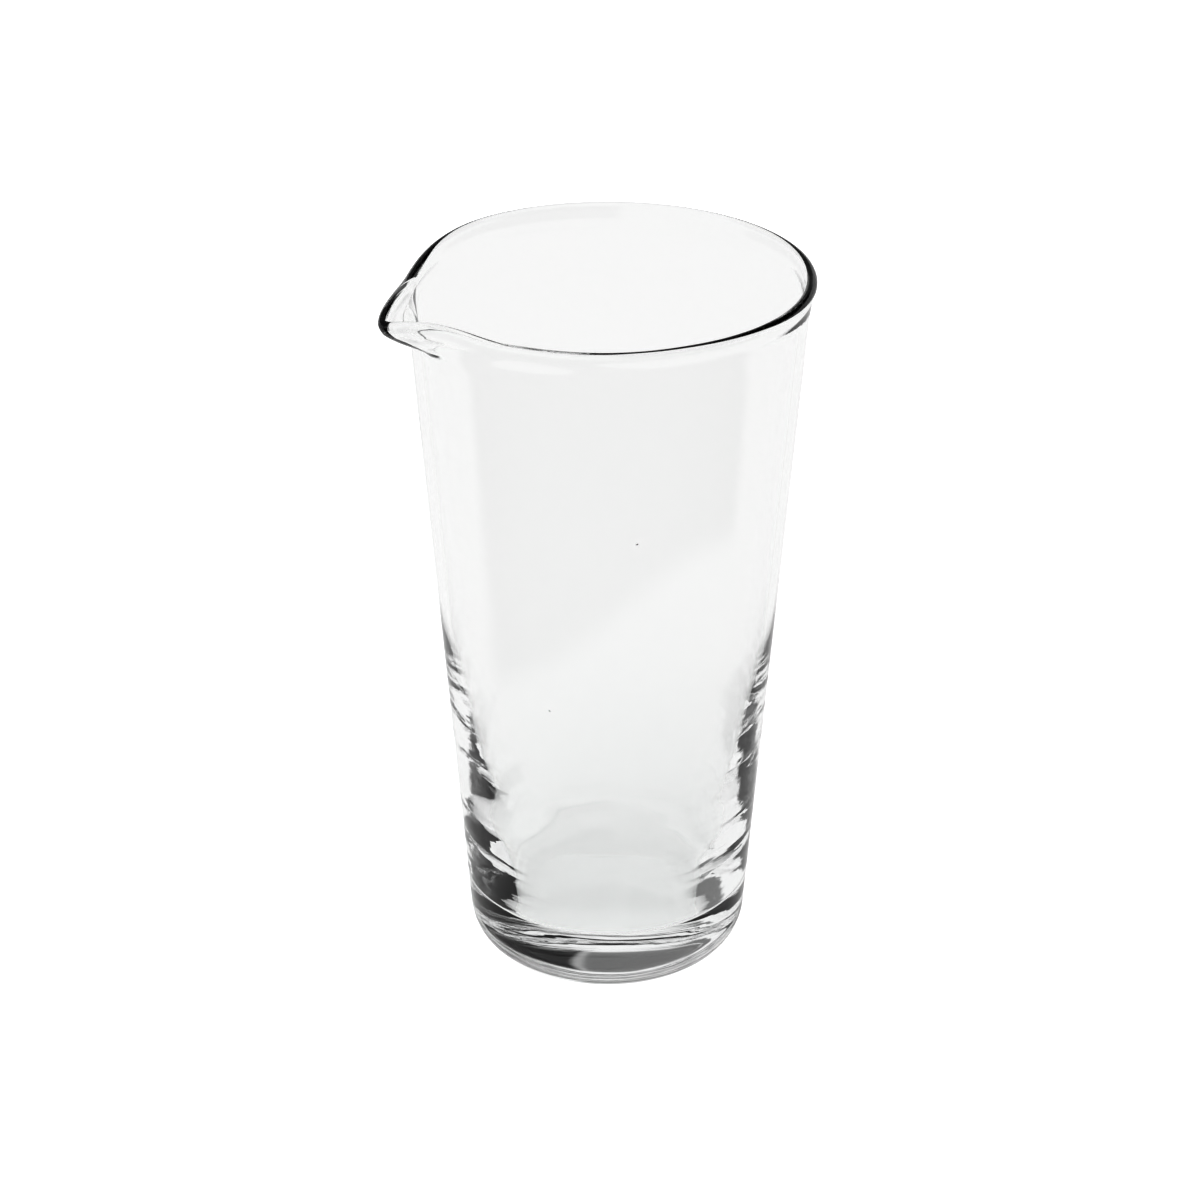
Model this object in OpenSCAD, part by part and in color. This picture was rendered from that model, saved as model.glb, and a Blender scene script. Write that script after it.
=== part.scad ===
// Pouring beaker: a tall tapered vessel of clear glass, blown in one piece, with a heavy base,
// a rounded heel, a fire-polished rim and one pulled pouring lip.
// The origin is the centre of the flat foot, +Z is up, and the lip points along -X.

/* [Vessel] */
// Height from the foot to the top of the rim
height = 168; // [140:1:200]
// Outer diameter over the rim bead
mouth_d = 92.2; // [86:0.2:100]
// Outer diameter of the straight wall, carried down to the table
foot_d = 62.6; // [58:0.2:70]
// Thickness of the upper wall
wall = 2.2; // [1.8:0.1:2.6]

/* [Base] */
// Thickness of the solid base in the middle
base_t = 12; // [10:0.5:16]
// Radius of the rounded heel outside
heel_r = 11; // [7:0.5:12]
// Extra thickness, on the inside, that the wall would reach at the table
lining = 8.2; // [4:0.2:10]
// Height at which that extra thickness begins
lining_h = 85; // [60:1:110]
// How far the floor inside sinks towards its middle
dish = 3.5; // [1:0.5:5]
// Radius of the corner inside, between the wall and the floor
corner_r = 1.5; // [1:0.5:5]

/* [Rim] */
// Diameter of the fire-polished bead that ends the wall
bead_d = 2.6; // [2.6:0.1:3.2]
// How far the bead stands out from the line of the straight wall
flare = 0.7; // [0:0.1:1.5]
// Height over which the wall bends out to the bead
flare_h = 9; // [6:1:14]

/* [Lip] */
// How far the lip reaches out beyond the round of the rim
lip_reach = 9.6; // [6:0.2:11]
// Depth below the rim over which the lip blends back into the wall
lip_h = 10.5; // [9.5:0.5:14]
// Degrees of turn over which the lip falls away to each side
lip_spread = 12; // [10:0.5:14]
// How much steeper it falls on one side than on the other, in degrees of turn
lip_skew = 2.5; // [-3:0.5:3]
// How far the rim curls inwards on each side of the lip
pinch = 2.4; // [0:0.1:2.6]
// How far the rim dips where it curls inwards
dip = 1.65; // [0:0.05:2.2]

/* [Hidden] */
glass_tint = [0.80, 0.88, 0.88, 0.45];

// The wall is drawn from its middle line, which leans out by "lean" for each unit of height.
bead_z = height - bead_d / 2;
mid_foot_r = foot_d / 2 - wall / 2;
mid_rim_r = mouth_d / 2 - bead_d / 2;
lean = (mid_rim_r - flare - mid_foot_r) / bead_z;
lean_angle = atan(lean);

// The wall narrows by "neck" and then swells into the bead, each over this height.
bead_blend = 2.4;
neck = 0.2;

// The lip reaches out fully above lip_top, has a rounded point, narrows towards its lower end
// and droops a little at its tip. Its underside is part straight, part curved.
lip_top = 2;
lip_round = 3;
lip_narrow = 0.6;
lip_straight = 0.3;
lip_droop = 1;
droop_spread = 4;

// Beside the lip the pinch is as deep as the lip, then becomes a shallow curl of the rim alone.
pinch_full = 30;
pinch_end = 78;
curl_h = 6.4;
curl_top = 1;
curl_from = 20;
curl_full = 38;

// The dip grows between the first two turns from the lip, and fades between the last two.
dip_from = 8;
dip_full = 32;
dip_fade = 23;
dip_end = 88;

// The lip patch fills a window in the round wall. Its skin lies this far inside the wall's own
// skin, and its edges reach this far past the window, so that no two surfaces coincide.
skin_gap = 0.06;
lap = 1;
window_half = 88;
window_z = height - lip_h - 1;

arc_steps = 12;
bead_steps = 8;
wall_rows = 14;
lining_steps = 14;
dish_steps = 8;
step = 0.01;

// 0 below zero, 1 above one, and a smooth rise between
function ease(x) = let (c = min(max(x, 0), 1)) c * c * (3 - 2 * c);
function unit(v) = v / norm(v);

// How much of the lip's shape has set in at a height
function lip_share(z) =
    let (x = min(max((z - height + lip_h) / (lip_h - lip_top), 0), 1))
    lip_straight * x + (1 - lip_straight) * ease(x);

// How far the wall is pushed out, and how far in, at "turn" degrees from the lip
function lip_fall(turn, away, z) =
    (lip_spread - lip_skew * turn / away) * (1 - lip_narrow * (1 - lip_share(z)));
function lip_out(turn, z) =
    let (away = sqrt(turn * turn + lip_round * lip_round))
    (lip_reach + pinch) * exp((lip_round - away) / lip_fall(turn, away, z));
function curl_depth(turn) =
    lip_h + (curl_h - lip_h) * ease((abs(turn) - curl_from) / (curl_full - curl_from));
function pinch_in(turn, z) =
    let (depth = curl_depth(turn), share = ease((z - height + depth) / (depth - curl_top)))
    share * pinch * ease((pinch_end - abs(turn)) / (pinch_end - pinch_full));

// How far the rim sinks there
function rim_dip(turn) =
    dip * ease((abs(turn) - dip_from) / (dip_full - dip_from))
    * ease((dip_end - abs(turn)) / (dip_end - dip_fade));
function rim_drop(turn) = rim_dip(turn) + lip_droop * exp(-pow(turn / droop_spread, 2));

// The middle of the wall at a height, round the vessel
function mid_r(z) = mid_foot_r + lean * z + flare * pow(max(z - bead_z + flare_h, 0) / flare_h, 2);
function mid(turn, z) =
    let (r = mid_r(z) + lip_share(z) * lip_out(turn, z) - pinch_in(turn, z))
    [-r * cos(turn), -r * sin(turn), z - lip_share(z) * rim_drop(turn)];

// Directions along the middle surface: round, up, and out through the glass
function around(turn, z) = unit(mid(turn + step, z) - mid(turn - step, z));
function upward(turn, z) = unit(mid(turn, z) - mid(turn, z - step));
function outward(turn, z) = unit(cross(around(turn, z), upward(turn, z)));

function half_wall(z) =
    let (blend_z = bead_z - bead_blend)
    wall / 2 - neck / 2 * ease((z - blend_z + bead_blend) / bead_blend)
    + (bead_d - wall + neck) / 2 * ease((z - blend_z) / bead_blend);
function skin(turn, z, side, inset) =
    mid(turn, z) + side * (half_wall(z) - inset) * outward(turn, z);
function bead_point(turn, angle, inset) =
    mid(turn, bead_z) + (bead_d / 2 - inset)
    * (cos(angle) * outward(turn, bead_z) + sin(angle) * upward(turn, bead_z));

// One cut through the upper wall at "turn": up the outside, over the bead, down the inside
function upper_heights(z_low) = [for (i = [0:wall_rows - 1]) z_low + (bead_z - z_low) * i / wall_rows];
function upper_section(turn, z_low, inset) =
    let (up = upper_heights(z_low), last = wall_rows - 1)
    concat(
        [for (z = up) skin(turn, z, 1, inset)],
        [for (i = [0:bead_steps]) bead_point(turn, 180 * i / bead_steps, inset)],
        [for (i = [0:last]) skin(turn, up[last - i], -1, inset)]
    );

// The same section opposite the lip, as radius and height
function flat_section(z_low) = [for (p = upper_section(180, z_low, 0)) [norm([p.x, p.y]), p.z]];

// The heel touches the foot plane and the wall's outer line.
outer_foot_r = mid_foot_r + wall / 2 / cos(lean_angle);
heel_mid_r = outer_foot_r - heel_r * (1 - sin(lean_angle)) / cos(lean_angle);
heel_curve = [
    for (i = [0:arc_steps])
        let (a = -90 + (90 - lean_angle) * i / arc_steps)
        [heel_mid_r + heel_r * cos(a), heel_r + heel_r * sin(a)]
];

// The inner line of the lower wall, which thickens on its way down
function lining_t(z) = lining * pow(max(lining_h - z, 0) / lining_h, 1.5);
function inner_r(z) = mid_foot_r + lean * z - (wall / 2 + lining_t(z)) / cos(lean_angle);

// The inside corner is an arc from that line to the edge of the dished floor.
dish_r = 21;
corner_end = 90 - atan(2 * dish / dish_r);
corner_mid_z = base_t + dish + corner_r * sin(corner_end);
corner_start = atan(inner_r(corner_mid_z + 0.5) - inner_r(corner_mid_z - 0.5));
corner_top_z = corner_mid_z - corner_r * sin(corner_start);
corner_mid_r = inner_r(corner_top_z) - corner_r * cos(corner_start);
corner_curve = [
    for (i = [0:arc_steps])
        let (a = corner_start + (corner_end - corner_start) * i / arc_steps)
        [corner_mid_r + corner_r * cos(a), corner_mid_z - corner_r * sin(a)]
];
floor_r = corner_mid_r + corner_r * cos(corner_end);
floor_curve = [
    for (i = [1:dish_steps])
        let (share = 1 - i / dish_steps)
        [floor_r * share, base_t + dish * share * share]
];
lining_curve = [
    for (i = [0:lining_steps - 1])
        let (z = lining_h + (corner_top_z - lining_h) * i / lining_steps)
        [inner_r(z), z]
];

module round_vessel() {
    inside = concat(lining_curve, corner_curve, floor_curve);
    rotate_extrude($fn = 180)
        polygon(concat([[0, 0]], heel_curve, flat_section(window_z), inside));
}

module lip_window() {
    rotate([0, 0, 180 - window_half])
        rotate_extrude(angle = 2 * window_half, $fn = 180)
            translate([mouth_d / 4, window_z])
                square([mouth_d / 2, lip_h * 2]);
}

// Turns from the lip at which the patch is cut: close together at the point, wider at the sides
lip_half = window_half + lap;
turn_steps = 34;
patch_turns = [
    for (i = [-turn_steps:turn_steps])
        let (s = i / turn_steps)
        lip_half * (0.32 * s + 0.68 * s * abs(s))
];

module lip_patch() {
    rows = 2 * wall_rows + bead_steps + 1;
    cuts = len(patch_turns);
    points = [for (t = patch_turns) each upper_section(t, window_z - lap, skin_gap)];
    sides = [
        for (c = [0:cuts - 2], r = [0:rows - 1])
            let (a = c * rows + r, b = c * rows + (r + 1) % rows)
            each [[a, b, b + rows], [a, b + rows, a + rows]]
    ];
    // The first and last cuts close the patch, in strips across the wall's thickness.
    middle = (rows - 1) / 2;
    ends = [
        for (first = [0, (cuts - 1) * rows], r = [0:middle - 1])
            let (
                a = first + r,
                b = first + rows - 1 - r,
                strip = concat([[a, b, b - 1]], r < middle - 1 ? [[a, b - 1, a + 1]] : [])
            )
            each first == 0 ? strip : [for (f = strip) [f[0], f[2], f[1]]]
    ];
    polyhedron(points = points, faces = concat(sides, ends), convexity = 6);
}

module glass_body() {
    color(glass_tint) {
        union() {
            difference() {
                round_vessel();
                lip_window();
            }
            lip_patch();
        }
    }
}

glass_body();
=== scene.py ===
import math

import bpy
import numpy as np
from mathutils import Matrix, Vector


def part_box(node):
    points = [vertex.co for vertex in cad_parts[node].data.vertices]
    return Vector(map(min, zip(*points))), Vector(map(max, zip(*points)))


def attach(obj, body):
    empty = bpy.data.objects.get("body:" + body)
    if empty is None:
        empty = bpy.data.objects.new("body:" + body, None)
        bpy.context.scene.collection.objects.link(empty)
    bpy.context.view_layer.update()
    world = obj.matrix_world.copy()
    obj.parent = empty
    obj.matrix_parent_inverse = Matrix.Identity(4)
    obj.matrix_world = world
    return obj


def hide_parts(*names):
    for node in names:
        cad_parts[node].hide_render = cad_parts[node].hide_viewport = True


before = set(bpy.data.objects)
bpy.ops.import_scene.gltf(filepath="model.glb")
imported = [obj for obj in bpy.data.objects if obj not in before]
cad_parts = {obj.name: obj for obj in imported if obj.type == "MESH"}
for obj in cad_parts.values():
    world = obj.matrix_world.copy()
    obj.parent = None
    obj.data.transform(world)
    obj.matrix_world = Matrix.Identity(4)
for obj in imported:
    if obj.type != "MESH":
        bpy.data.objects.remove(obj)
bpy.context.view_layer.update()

# ---------------------------------------------------------------------------------------------
# Dimensions, in metres. The height and the two reaches come from the CAD node.
# ---------------------------------------------------------------------------------------------
MM = 0.001
LOW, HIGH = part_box("glass_body")
HEIGHT = HIGH.z
RIM_INSET, LIP_INSET = 0.04 * MM, 0.08 * MM     # keep the lumpy glass inside the CAD node's box
RIM_R = HIGH.x - RIM_INSET
LIP_REACH = -LOW.x - RIM_R - LIP_INSET

FOOT_R = 31.3 * MM          # outer line of the straight wall, carried down to the table
WALL = 2.2 * MM
BASE_T = 12 * MM
HEEL_R = 11 * MM
LINING = 8.2 * MM           # the wall thickens inwards by this much on its way down to the table
LINING_H = 85 * MM
LINING_POWER = 1.5
CORNER = 1.5 * MM           # radius of the corner between the wall and the floor inside
DISH = 3.5 * MM             # the floor inside sinks this much towards its middle
DISH_R = 21 * MM
BEAD_R = 1.3 * MM
BEAD_BLEND = 2.4 * MM
NECK = 0.2 * MM             # how much thinner the wall is just under the bead
FLARE = 0.7 * MM
FLARE_H = 9 * MM

LIP_H = 10.5 * MM           # the lip blends back into the wall over this depth
LIP_TOP = 2 * MM            # and reaches out fully above this one
LIP_STRAIGHT = 0.3          # how straight its underside is, from 0 to 1
LIP_SPREAD = 12.0           # degrees round the rim, like the next two
LIP_SKEW = 2.5
LIP_ROUND = 3.0
LIP_NARROW = 0.6            # how much narrower the lip gets towards its lower end
DROOP = 1.0 * MM
DROOP_SPREAD = 4.0
PINCH = 2.4 * MM            # beside the lip the rim curls inwards and dips
PINCH_FULL, PINCH_END = 30.0, 78.0
CURL_H, CURL_TOP = 6.4 * MM, 1.0 * MM
CURL_FROM, CURL_FULL = 20.0, 38.0
DIP = 1.65 * MM
DIP_FROM, DIP_FULL, DIP_FADE, DIP_END = 8.0, 32.0, 23.0, 88.0

# Layers of smooth noise: how strong, cells round the glass, height of a cell, seed.
RIPPLE = 0.06 * MM          # waves on the outside of the lower glass
RIPPLE_FULL, RIPPLE_TOP = 35 * MM, 80 * MM
RIPPLE_FROM = 4 * MM        # the foot itself is flat, and the waves start above it
RIPPLE_LAYERS = ((0.2, 8, 11 * MM, 1), (0.5, 9, 3.2 * MM, 2), (0.3, 24, 2.2 * MM, 3))
LUMPS = 0.07 * MM           # lumps on the inside of the lower glass
LUMPS_FULL = 40 * MM
LUMP_LAYERS = ((1.0, 6, 16 * MM, 5), (0.3, 15, 7 * MM, 6))
LUMP_LIFT = 0.6             # share of a lump that also lifts the floor inside
BULGE = 0.2 * MM            # a ring that bulges inwards, above a dent
BULGE_Z, BULGE_H = 47 * MM, 6 * MM
DENT_BELOW = 11 * MM
BULGE_EVEN = 0.7
BULGE_LAYERS = ((0.6, 7, 30 * MM, 4),)
NOISE_REACH = 0.4           # every layer is drawn for a glass up to this tall

BEAD_Z = HEIGHT - BEAD_R
MID_FOOT_R = FOOT_R - WALL / 2
LEAN = (RIM_R - BEAD_R - FLARE - MID_FOOT_R) / BEAD_Z
LEAN_ANGLE = math.atan(LEAN)


def ease(x):
    c = np.clip(x, 0, 1)
    return c * c * (3 - 2 * c)


def noise(turn, along, cells_round, cell, seed):
    """Smooth values from -1 to 1 over the glass: turn in degrees, along in metres."""
    rows = int(NOISE_REACH / cell) + 4
    lattice = np.random.default_rng(seed).uniform(-1, 1, (rows, cells_round))
    u = (np.asarray(turn) % 360) / 360 * cells_round
    v = np.clip(np.asarray(along) / cell + 1, 0, rows - 2)
    i, j = np.floor(u).astype(int), np.floor(v).astype(int)
    fu, fv = ease(u - i), ease(v - j)
    i, k = i % cells_round, (i + 1) % cells_round
    low = lattice[j, i] * (1 - fu) + lattice[j, k] * fu
    high = lattice[j + 1, i] * (1 - fu) + lattice[j + 1, k] * fu
    return low * (1 - fv) + high * fv


def layered(turn, z, layers):
    return sum(strength * noise(turn, z, *cells) for strength, *cells in layers)


# ---------------------------------------------------------------------------------------------
# The wall's middle surface, with the pulled lip at turn 0 (towards -X)
# ---------------------------------------------------------------------------------------------
def lip_share(z):
    x = np.clip((z - HEIGHT + LIP_H) / (LIP_H - LIP_TOP), 0, 1)
    return LIP_STRAIGHT * x + (1 - LIP_STRAIGHT) * ease(x)


def lip_out(turn, z):
    away = np.hypot(turn, LIP_ROUND)
    spread = (LIP_SPREAD - LIP_SKEW * turn / away) * (1 - LIP_NARROW * (1 - lip_share(z)))
    return (LIP_REACH + PINCH) * np.exp((LIP_ROUND - away) / spread)


def pinch_in(turn, z):
    depth = LIP_H + (CURL_H - LIP_H) * ease((np.abs(turn) - CURL_FROM) / (CURL_FULL - CURL_FROM))
    share = ease((z - HEIGHT + depth) / (depth - CURL_TOP))
    return share * PINCH * ease((PINCH_END - np.abs(turn)) / (PINCH_END - PINCH_FULL))


def rim_drop(turn):
    away = np.abs(turn)
    dip = ease((away - DIP_FROM) / (DIP_FULL - DIP_FROM)) * ease((DIP_END - away) / (DIP_END - DIP_FADE))
    return DIP * dip + DROOP * np.exp(-(turn / DROOP_SPREAD) ** 2)


def middle(turn, z):
    r = MID_FOOT_R + LEAN * z + FLARE * (max(z - BEAD_Z + FLARE_H, 0) / FLARE_H) ** 2
    r = r + lip_share(z) * lip_out(turn, z) - pinch_in(turn, z)
    a = np.radians(turn)
    return np.stack([-r * np.cos(a), -r * np.sin(a), z - lip_share(z) * rim_drop(turn)], -1)


def unit(v):
    return v / np.linalg.norm(v, axis=-1, keepdims=True)


def directions(turn, z):
    """Along the middle surface: up, and out through the glass."""
    turn_step, z_step = 0.01, 0.01 * MM
    around = middle(turn + turn_step, z) - middle(turn - turn_step, z)
    upward = unit(middle(turn, z) - middle(turn, z - z_step))
    return upward, unit(np.cross(around, upward))


def half_wall(z):
    """Half the wall's thickness: thinner in the neck, then swelling into the bead."""
    below_bead = BEAD_Z - BEAD_BLEND
    neck = NECK / 2 * ease((z - below_bead + BEAD_BLEND) / BEAD_BLEND)
    return WALL / 2 - neck + (BEAD_R - WALL / 2 + NECK / 2) * ease((z - below_bead) / BEAD_BLEND)


def lining(z):
    """How much thicker than the upper wall the glass is at a height, all of it on the inside."""
    return LINING * (max(LINING_H - z, 0) / LINING_H) ** LINING_POWER


def ripple(turn, z):
    """The outside of the lower glass: shallow waves that run round it."""
    share = ease((RIPPLE_TOP - z) / (RIPPLE_TOP - RIPPLE_FULL))
    return RIPPLE * share * layered(turn, z, RIPPLE_LAYERS)


def uneven(turn, z):
    """The inside of the lower glass: long soft lumps, and one ring that bulges above a dent."""
    share = ease((LINING_H - z) / (LINING_H - LUMPS_FULL))
    bulge = np.exp(-((z - BULGE_Z) / BULGE_H) ** 2)
    dent = np.exp(-((z - BULGE_Z + DENT_BELOW) / BULGE_H) ** 2)
    ring = (bulge - dent) * (BULGE_EVEN + layered(turn, z, BULGE_LAYERS))
    return share * (BULGE * ring + LUMPS * layered(turn, z, LUMP_LAYERS))


def wall_row(turn, z, side):
    """A ring of points on the wall: side 1 is its outside, side -1 its inside."""
    reach = half_wall(z) + ripple(turn, z) if side > 0 else -half_wall(z) - lining(z) - uneven(turn, z)
    return middle(turn, z) + np.reshape(reach, (-1, 1)) * directions(turn, z)[1]


def bead_row(turn, angle):
    upward, outward = directions(turn, BEAD_Z)
    return middle(turn, BEAD_Z) + BEAD_R * (math.cos(angle) * outward + math.sin(angle) * upward)


def round_row(turn, r, z):
    a = np.radians(turn)
    return np.stack([-r * np.cos(a), -r * np.sin(a), z + 0 * a], -1)


# ---------------------------------------------------------------------------------------------
# The glass: one closed skin, from under the foot, up the outside, over the bead, down the inside
# ---------------------------------------------------------------------------------------------
COLUMNS = 280
COLUMN_CROWDING = 0.6       # from 0 to 1: how much closer together the columns are at the lip
FOOT_ROWS, HEEL_ROWS = 6, 32
LOW_OUTER_ROWS, HIGH_OUTER_ROWS = 115, 22
TOP_ROWS, BEAD_ROWS = 26, 17
HIGH_INNER_ROWS, LOW_INNER_ROWS = 16, 44
CORNER_ROWS, FLOOR_ROWS = 20, 16
LOW_END = 75 * MM           # the rippled lower wall, with many rows, ends here
TOP_START = 152 * MM        # the neck and lip, with close rows, start here
FOOT_HOLE_R = 2 * MM        # a fan of triangles closes the foot and the floor inside these rings
FLOOR_HOLE_R = 1 * MM


def column_turns():
    s = np.arange(-COLUMNS // 2, COLUMNS // 2) / (COLUMNS // 2)
    return 180 * ((1 - COLUMN_CROWDING) * s + COLUMN_CROWDING * s * np.abs(s))


def heel_points(count):
    foot_r = MID_FOOT_R + WALL / 2 / math.cos(LEAN_ANGLE)
    middle_r = foot_r - HEEL_R * (1 - math.sin(LEAN_ANGLE)) / math.cos(LEAN_ANGLE)
    for a in np.linspace(-math.pi / 2, -LEAN_ANGLE, count):
        yield middle_r + HEEL_R * math.cos(a), HEEL_R + HEEL_R * math.sin(a)


def inner_r(z):
    return MID_FOOT_R + LEAN * z - (WALL / 2 + lining(z)) / math.cos(LEAN_ANGLE)


def corner_points(count):
    """From the wall's inner line round the tight corner to the edge of the dished floor."""
    end = math.pi / 2 - math.atan(2 * DISH / DISH_R)
    middle_z = BASE_T + DISH + CORNER * math.sin(end)
    slope = (inner_r(middle_z + MM) - inner_r(middle_z - MM)) / (2 * MM)
    start = math.atan(slope)
    middle_r = inner_r(middle_z - CORNER * math.sin(start)) - CORNER * math.cos(start)
    for a in np.linspace(start, end, count):
        yield middle_r + CORNER * math.cos(a), middle_z - CORNER * math.sin(a)


def glass_rows(turn):
    heel = list(heel_points(HEEL_ROWS))
    corner = list(corner_points(CORNER_ROWS))
    corner_r = corner[0][0]
    low_outer = np.linspace(heel[-1][1], LOW_END, LOW_OUTER_ROWS)[1:]
    high_outer = np.linspace(LOW_END, TOP_START, HIGH_OUTER_ROWS)[1:]
    top = np.linspace(TOP_START, BEAD_Z, TOP_ROWS)[1:-1]
    high_inner = np.linspace(TOP_START, LINING_H, HIGH_INNER_ROWS)[:-1]
    low_inner = np.linspace(LINING_H, corner[0][1], LOW_INNER_ROWS)[:-1]
    rows = [round_row(turn, r, 0.0) for r in np.linspace(FOOT_HOLE_R, heel[0][0], FOOT_ROWS)[:-1]]
    for r, z in heel:
        share = ease(z / RIPPLE_FROM)
        rows.append(round_row(turn, r + share * ripple(turn, z), z))
    rows += [wall_row(turn, z, 1) for z in (*low_outer, *high_outer, *top)]
    rows += [bead_row(turn, a) for a in np.linspace(0, math.pi, BEAD_ROWS)]
    rows += [wall_row(turn, z, -1) for z in (*top[::-1], *high_inner, *low_inner)]
    edge_r = corner[-1][0]
    floor_rs = np.linspace(edge_r, FLOOR_HOLE_R, FLOOR_ROWS)[1:]
    floor = [(r, BASE_T + DISH * (r / edge_r) ** 2) for r in floor_rs]
    for r, z in (*corner, *floor):
        share = (r / corner_r) ** 2
        lump = uneven(turn, z)
        rows.append(round_row(turn, r - share * lump, z + LUMP_LIFT * share * lump))
    return np.array(rows)


def closed_skin(name, grid):
    """A mesh from rows of points round the axis, closed by a fan at each end."""
    rows, columns, _ = grid.shape
    ends = [grid[0].mean(0), grid[-1].mean(0)]
    points = np.concatenate([grid.reshape(-1, 3), ends])
    first, last = rows * columns, rows * columns + 1
    faces = []
    for r in range(rows - 1):
        for c in range(columns):
            a, b = r * columns + c, r * columns + (c + 1) % columns
            faces.append((a, b, b + columns, a + columns))
    top = (rows - 1) * columns
    for c in range(columns):
        d = (c + 1) % columns
        faces.append((first, d, c))
        faces.append((last, top + c, top + d))
    mesh = bpy.data.meshes.new(name)
    mesh.from_pydata(points.tolist(), [], faces)
    mesh.update()
    mesh.shade_smooth()
    piece = bpy.data.objects.new(name, mesh)
    bpy.context.scene.collection.objects.link(piece)
    return piece


# ---------------------------------------------------------------------------------------------
# Shader helpers
# ---------------------------------------------------------------------------------------------
CAMERA_TURN = math.radians(-27.5)


def node(tree, kind, **values):
    """Add a node. Each value sets its property or input of that name; _0, _1 and so on are inputs
    by number. A value is a constant, or a socket to link to the input."""
    made = tree.nodes.new(kind)
    for key, value in values.items():
        if hasattr(made, key):
            setattr(made, key, value)
            continue
        socket = made.inputs[int(key[1:])] if key[0] == "_" else made.inputs[key]
        if isinstance(value, bpy.types.NodeSocket):
            tree.links.new(value, socket)
        else:
            socket.default_value = value
    return made


def calc(tree, operation, *values):
    inputs = {f"_{i}": v for i, v in enumerate(values)}
    return node(tree, "ShaderNodeMath", operation=operation, **inputs).outputs[0]


def soft_step(tree, value, start, end):
    """0 at the start, 1 at the end, and smooth between. The start may lie above the end."""
    rise = node(tree, "ShaderNodeMapRange", interpolation_type="SMOOTHSTEP", _0=value,
                _1=start, _2=end, _3=0.0, _4=1.0)
    return rise.outputs[0]


def soft_band(tree, value, centre, half_width, edge):
    """1 within half_width of the centre, falling smoothly to 0 over the edge."""
    away = calc(tree, "ABSOLUTE", calc(tree, "SUBTRACT", value, centre))
    return calc(tree, "SUBTRACT", 1.0, soft_step(tree, away, half_width, half_width + edge))


def split(tree, vector):
    """A direction or place as seen from the camera's side: X to the right, Y away from it."""
    turned = node(tree, "ShaderNodeVectorRotate", rotation_type="Z_AXIS", Vector=vector,
                  Angle=-CAMERA_TURN).outputs[0]
    return node(tree, "ShaderNodeSeparateXYZ", Vector=turned)


# ---------------------------------------------------------------------------------------------
# The glass material. Scales are in cells per metre, one number or X, Y and Z.
# ---------------------------------------------------------------------------------------------
CORD_SCALE = (160, 160, 9)
RIPPLE_SCALE = (35, 35, 420)
RIPPLE_TO_CORD = 1.4        # height of the ripples against that of the cords
WAVE_HEIGHT = 0.012 * MM
BASE_TOP, BASE_FULL = 75 * MM, 15 * MM      # the ripples and the tint fade in between these heights
SEED_SCALE = 90.0
SEED_RARITY = 0.86          # share of the cells that hold no seed
SEED_R = 0.035              # in cells
SEED_DEPTH = 0.2 * MM
PATCH_SCALE = 45.0
PATCH_ROUGHNESS = 0.03
CLEAR = (0.995, 0.996, 0.995, 1)
BASE_TINT = (0.975, 0.982, 0.979, 1)
GLASS_IOR = 1.5


def glass_material():
    mat = bpy.data.materials.new("clear_glass")
    mat.use_nodes = True
    tree = mat.node_tree
    shader = tree.nodes["Principled BSDF"]
    place = node(tree, "ShaderNodeTexCoord").outputs["Object"]

    # Cords: faint upright streaks of glass of another density, and ripples that run round.
    upright = node(tree, "ShaderNodeMapping", Vector=place, Scale=CORD_SCALE).outputs[0]
    level = node(tree, "ShaderNodeMapping", Vector=place, Scale=RIPPLE_SCALE).outputs[0]
    cords = node(tree, "ShaderNodeTexNoise", Vector=upright, Scale=1.0, Detail=3.0).outputs["Fac"]
    ripples = node(tree, "ShaderNodeTexNoise", Vector=level, Scale=1.0, Detail=2.0).outputs["Fac"]
    low = soft_step(tree, split(tree, place).outputs["Z"], BASE_TOP, BASE_FULL)
    waves = calc(tree, "MULTIPLY_ADD", calc(tree, "MULTIPLY", ripples, low), RIPPLE_TO_CORD, cords)
    wavy = node(tree, "ShaderNodeBump", Height=waves, Strength=1.0, Distance=WAVE_HEIGHT).outputs[0]

    # Seeds: a few tiny bubbles, each a dent of about half a millimetre.
    cells = node(tree, "ShaderNodeTexVoronoi", Vector=place, Scale=SEED_SCALE)
    cell_value = split(tree, cells.outputs["Color"]).outputs["Z"]
    chosen = calc(tree, "GREATER_THAN", cell_value, SEED_RARITY)
    dent = soft_step(tree, cells.outputs["Distance"], SEED_R, 0.0)
    seeds = node(tree, "ShaderNodeBump", Height=calc(tree, "MULTIPLY", dent, chosen), Normal=wavy,
                 Strength=1.0, Distance=SEED_DEPTH).outputs[0]
    tree.links.new(seeds, shader.inputs["Normal"])

    # Handling leaves the surface a little less than perfectly bright in soft patches.
    patches = node(tree, "ShaderNodeTexNoise", Vector=place, Scale=PATCH_SCALE, Detail=4.0).outputs["Fac"]
    tree.links.new(calc(tree, "MULTIPLY", patches, PATCH_ROUGHNESS), shader.inputs["Roughness"])

    # The thick base is very slightly green.
    tint = node(tree, "ShaderNodeMix", data_type="RGBA", _0=low, _6=CLEAR, _7=BASE_TINT).outputs[2]
    tree.links.new(tint, shader.inputs["Base Color"])
    shader.inputs["Transmission Weight"].default_value = 1
    shader.inputs["IOR"].default_value = GLASS_IOR
    return mat


glass = closed_skin("glass_beaker", glass_rows(column_turns()))
glass.data.materials.append(glass_material())
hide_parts("glass_body")
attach(glass, "root")

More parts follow.
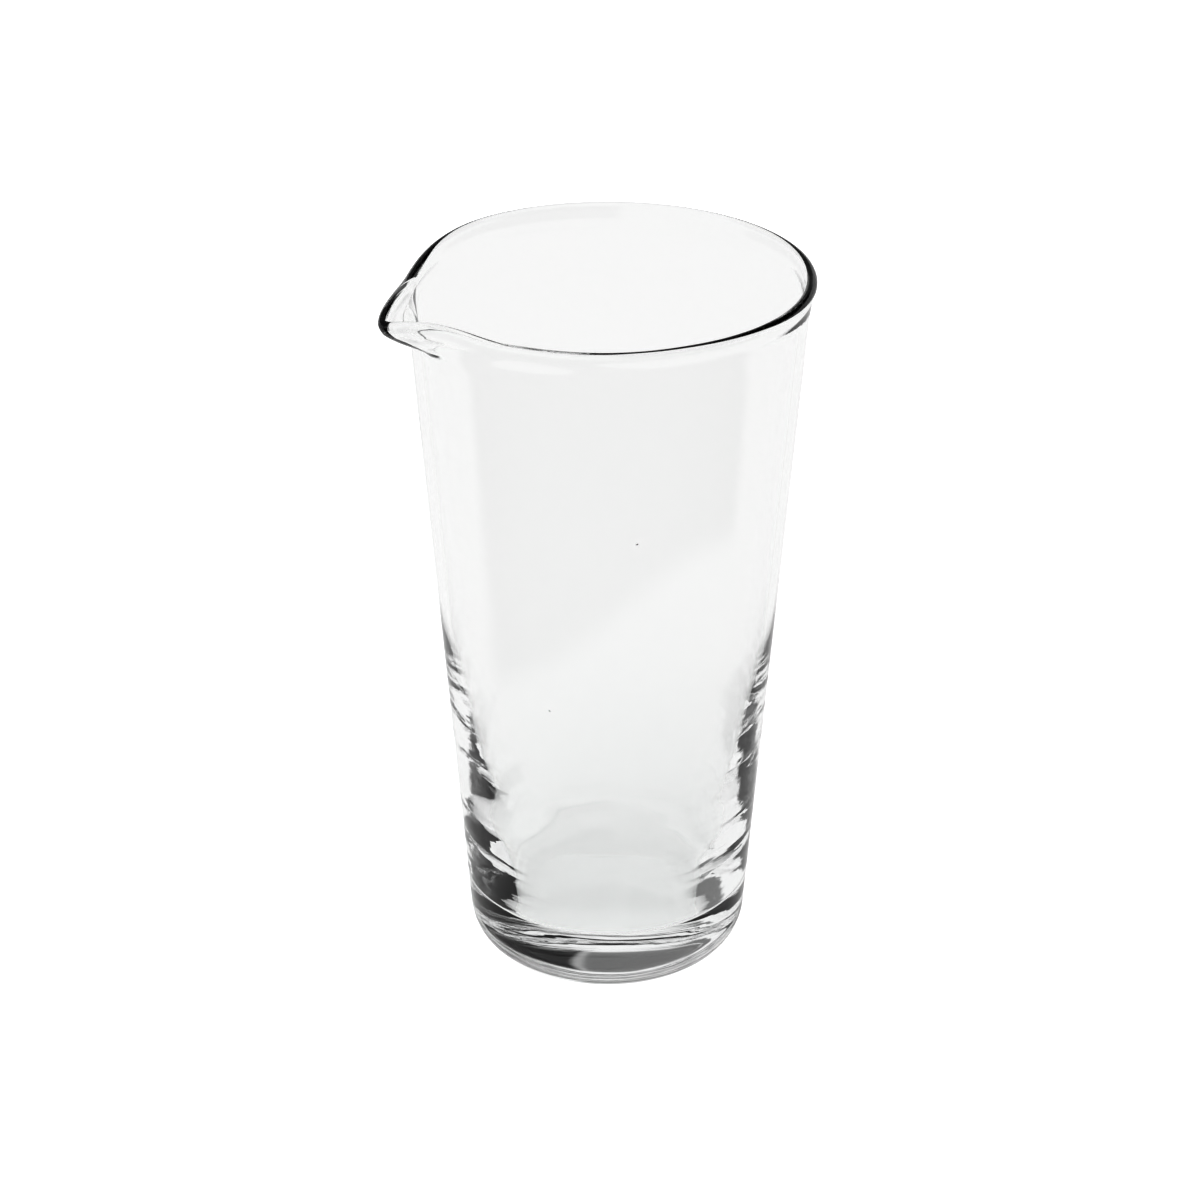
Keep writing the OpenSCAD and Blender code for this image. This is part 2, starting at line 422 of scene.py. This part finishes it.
# ---------------------------------------------------------------------------------------------
# Floor, light and camera
# ---------------------------------------------------------------------------------------------
CAMERA_TILT = math.radians(26.0)
CAMERA_DISTANCE = 931.5 * MM
CAMERA_SHIFT = 4.2 * MM     # to the left, so that the beaker stands a little right of the middle
LENS = 124.4
AIM_SHARE = 0.539           # the camera aims this far up the beaker

FLOOR_HALF = 3.0
FLOOR_GAP = 0.2 * MM        # the floor lies this far under the foot
FLOOR_WHITE, FLOOR_GLOW = 0.5, 0.66
FLOOR_LIFT = 0.4            # the floor glows this much more where the camera sees it directly
PAINTED_POOL_UNDER_FOOT = 0.07            # painted pool of light: extra glow on the paper under the thick base, for the light that the base gathers
PAINTED_POOL_FULL, PAINTED_POOL_END = 20 * MM, 34 * MM
PAPER_END = 175 * MM        # the white paper has a round end in front of the glass
PAPER_EDGE = 20 * MM
PAPER_SHIFT = 35 * MM       # and the middle of that end is this far to the right
FRONT_FROM, FRONT_FULL = 10 * MM, 60 * MM
PAST_PAPER = 0.9            # past it the table is this much darker, in the glass's mirror image

# The studio seen from the glass: a white room with soft dark cards. Each card has its turn from
# the camera's side (to the right), its height, half its width, half its height, the softness of
# its edge (all in degrees) and how dark it is.
ROOM = 0.95
CARDS = (
    (96, 38, 70, 14, 6, 0.99),
    (28, 26, 30, 12, 10, 0.95),
    (-140, 32, 46, 14, 8, 0.75),
)
GAMMA = 0.65
INSIDE_BOUNCES = 24         # the light bounces many times inside the thick base before it leaves
MIRROR_BOUNCES = 20


def add_camera():
    data = bpy.data.cameras.new("camera")
    data.lens = LENS
    camera = bpy.data.objects.new("camera", data)
    bpy.context.scene.collection.objects.link(camera)
    back = Vector((
        math.sin(CAMERA_TURN) * math.cos(CAMERA_TILT),
        -math.cos(CAMERA_TURN) * math.cos(CAMERA_TILT),
        math.sin(CAMERA_TILT),
    ))
    camera.rotation_euler = back.to_track_quat("Z", "Y").to_euler()
    right = Vector((math.cos(CAMERA_TURN), math.sin(CAMERA_TURN), 0))
    aim = Vector((0, 0, AIM_SHARE * HEIGHT))
    camera.location = aim + back * CAMERA_DISTANCE - right * CAMERA_SHIFT
    bpy.context.scene.camera = camera


def floor_paper(tree, place, mirrored):
    """1 on the white paper, less on the table past its end where the glass mirrors it."""
    aside = calc(tree, "SUBTRACT", place.outputs["X"], PAPER_SHIFT)
    near = calc(tree, "MINIMUM", place.outputs["Y"], 0.0)
    squares = calc(tree, "ADD", calc(tree, "POWER", aside, 2.0), calc(tree, "POWER", near, 2.0))
    past = soft_step(tree, calc(tree, "SQRT", squares), PAPER_END, PAPER_END + PAPER_EDGE)
    in_front = soft_step(tree, calc(tree, "MULTIPLY", near, -1.0), FRONT_FROM, FRONT_FULL)
    dark = calc(tree, "MULTIPLY", calc(tree, "MULTIPLY", past, in_front), PAST_PAPER)
    return calc(tree, "SUBTRACT", 1.0, calc(tree, "MULTIPLY", dark, mirrored))


def add_floor():
    mesh = bpy.data.meshes.new("floor")
    s = FLOOR_HALF
    mesh.from_pydata([(-s, -s, 0), (s, -s, 0), (s, s, 0), (-s, s, 0)], [], [(0, 1, 2, 3)])
    floor = bpy.data.objects.new("floor", mesh)
    bpy.context.scene.collection.objects.link(floor)
    floor.location.z = -FLOOR_GAP
    mat = bpy.data.materials.new("floor_white")
    mat.use_nodes = True
    tree = mat.node_tree
    path = node(tree, "ShaderNodeLightPath")
    here = node(tree, "ShaderNodeNewGeometry").outputs["Position"]
    paper = floor_paper(tree, split(tree, here), path.outputs["Is Reflection Ray"])
    lift = calc(tree, "MULTIPLY_ADD", path.outputs["Is Camera Ray"], FLOOR_LIFT, FLOOR_GLOW)
    from_axis = node(tree, "ShaderNodeVectorMath", operation="LENGTH", _0=here).outputs["Value"]
    # Painted pool of light: the paper glows more under the foot, fading out between the two radii.
    painted_pool_mask = calc(tree, "SUBTRACT", 1.0, soft_step(tree, from_axis, PAINTED_POOL_FULL, PAINTED_POOL_END))
    glow_and_painted_pool = calc(tree, "MULTIPLY_ADD", painted_pool_mask, PAINTED_POOL_UNDER_FOOT, calc(tree, "MULTIPLY", paper, lift))
    shader = tree.nodes["Principled BSDF"]
    tree.links.new(calc(tree, "MULTIPLY", paper, FLOOR_WHITE), shader.inputs["Base Color"])
    shader.inputs["Specular IOR Level"].default_value = 0
    shader.inputs["Emission Color"].default_value = (1, 1, 1, 1)
    tree.links.new(glow_and_painted_pool, shader.inputs["Emission Strength"])
    floor.data.materials.append(mat)


def add_studio():
    world = bpy.data.worlds.new("studio")
    world.use_nodes = True
    bpy.context.scene.world = world
    tree = world.node_tree
    ray = node(tree, "ShaderNodeTexCoord").outputs["Generated"]
    part = split(tree, ray)
    towards = calc(tree, "MULTIPLY", part.outputs["Y"], -1.0)
    turn = calc(tree, "DEGREES", calc(tree, "ARCTAN2", part.outputs["X"], towards))
    height = calc(tree, "DEGREES", calc(tree, "ARCSINE", part.outputs["Z"]))
    light = ROOM
    for card_turn, card_height, half_width, half_height, edge, dark in CARDS:
        away = calc(tree, "WRAP", calc(tree, "SUBTRACT", turn, card_turn), 180.0, -180.0)
        across = soft_band(tree, away, 0.0, half_width, edge)
        upright = soft_band(tree, height, card_height, half_height, edge)
        shade = calc(tree, "MULTIPLY", calc(tree, "MULTIPLY", across, upright), dark)
        light = calc(tree, "MULTIPLY", light, calc(tree, "SUBTRACT", 1.0, shade))
    tree.links.new(light, tree.nodes["Background"].inputs["Strength"])
    tree.nodes["Background"].inputs["Color"].default_value = (1, 1, 1, 1)


add_camera()
add_floor()
add_studio()
scene = bpy.context.scene
scene.view_settings.view_transform = "Standard"
scene.view_settings.gamma = GAMMA
scene.cycles.max_bounces = INSIDE_BOUNCES
scene.cycles.transmission_bounces = INSIDE_BOUNCES
scene.cycles.glossy_bounces = MIRROR_BOUNCES
